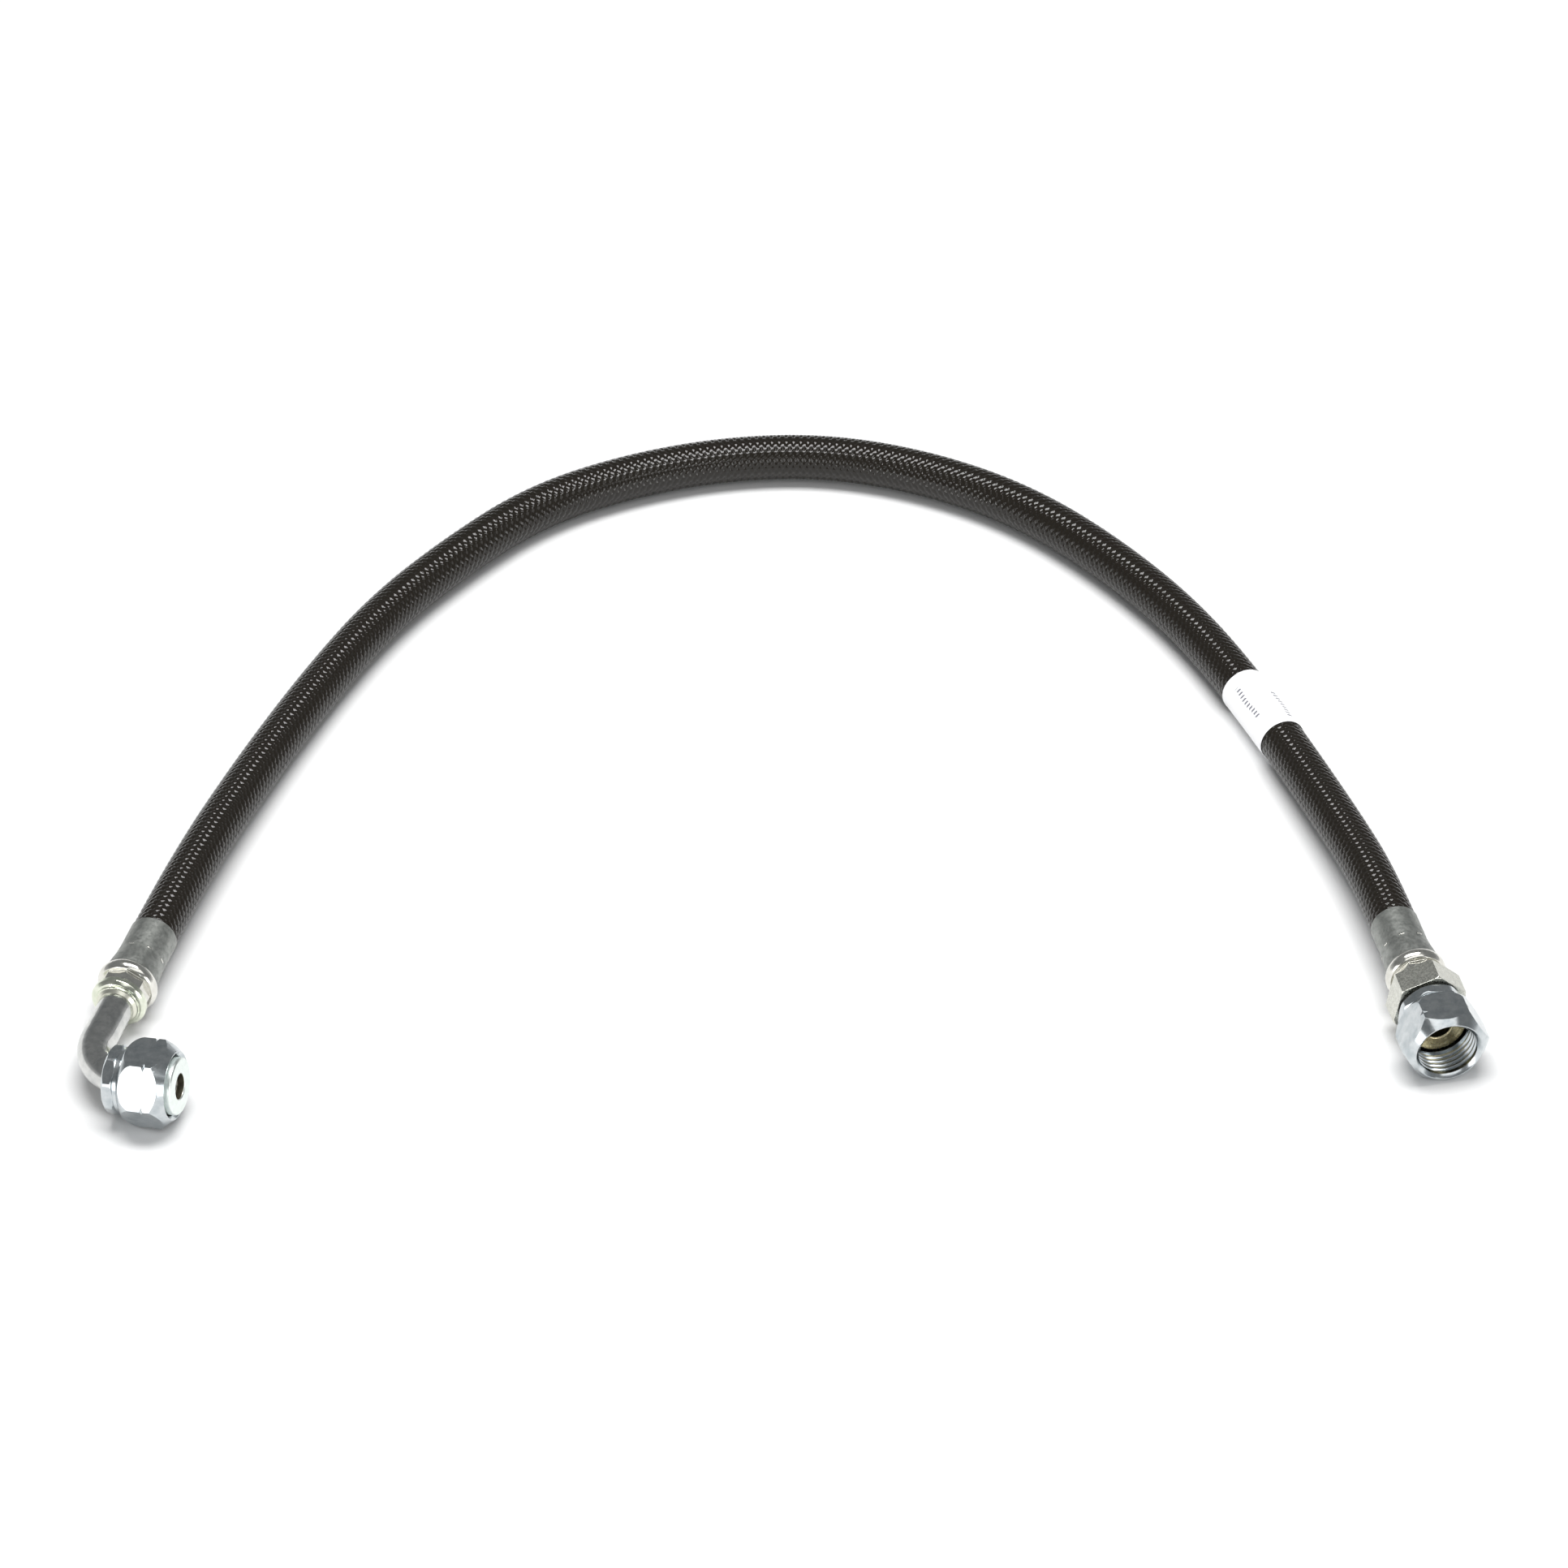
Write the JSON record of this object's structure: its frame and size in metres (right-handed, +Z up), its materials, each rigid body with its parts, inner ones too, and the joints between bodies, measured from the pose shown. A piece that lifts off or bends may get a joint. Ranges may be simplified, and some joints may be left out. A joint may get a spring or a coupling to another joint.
{
  "type": "hydraulic hose assembly",
  "caption": "Flexible hydraulic hose bent in an arch, with a brazed 90 degree elbow and swivel nut on one end and a straight crimped fitting with a swivel nut on the other.",
  "frame": {"origin": "middle of the whole assembly seen from above, on the table it lies on", "axes": "+Z up; +X along the line from the elbow end to the straight end; +Y towards the top of the hose's arch, away from both fittings"},
  "size_m": [0.3688, 0.2918, 0.0217],
  "materials": {
    "liner_polymer": "smooth, waxy",
    "braid_steel": "braided bright wire",
    "cover_black": "glossy thin cover that shows the braid under it",
    "label_white": "smooth printed film",
    "crimped_zinc": "zinc plate dulled by the crimping dies",
    "bright_zinc": "bright zinc plate with a faint yellow tint",
    "nut_zinc": "bright blue-white zinc plate",
    "braze": "plated braze fillet"
  },
  "bodies": {
    "hose_run": {"hose_liner": "liner_polymer", "hose_braid": "braid_steel", "hose_cover": "cover_black", "hose_label": "label_white", "elbow_ferrule": "crimped_zinc", "elbow_insert": "bright_zinc", "elbow_tube": "bright_zinc", "elbow_inlet_braze": "braze", "elbow_outlet_braze": "braze", "elbow_head": "bright_zinc", "straight_ferrule": "crimped_zinc", "straight_insert": "bright_zinc"},
    "elbow_nut_body": {"elbow_nut": "nut_zinc"},
    "straight_nut_body": {"straight_nut": "nut_zinc"}
  },
  "joints": [
    {"name": "elbow_nut_spin", "type": "hinge", "parent": "hose_run", "child": "elbow_nut_body", "pos_m": [-0.15651, -0.1358, 0.01175], "axis": [0.9536, -0.2825, 0.1045], "continuous": true},
    {"name": "straight_nut_spin", "type": "hinge", "parent": "hose_run", "child": "straight_nut_body", "pos_m": [0.17125, -0.1107, 0.01032], "axis": [0.225, -0.9744, 0], "continuous": true}
  ]
}
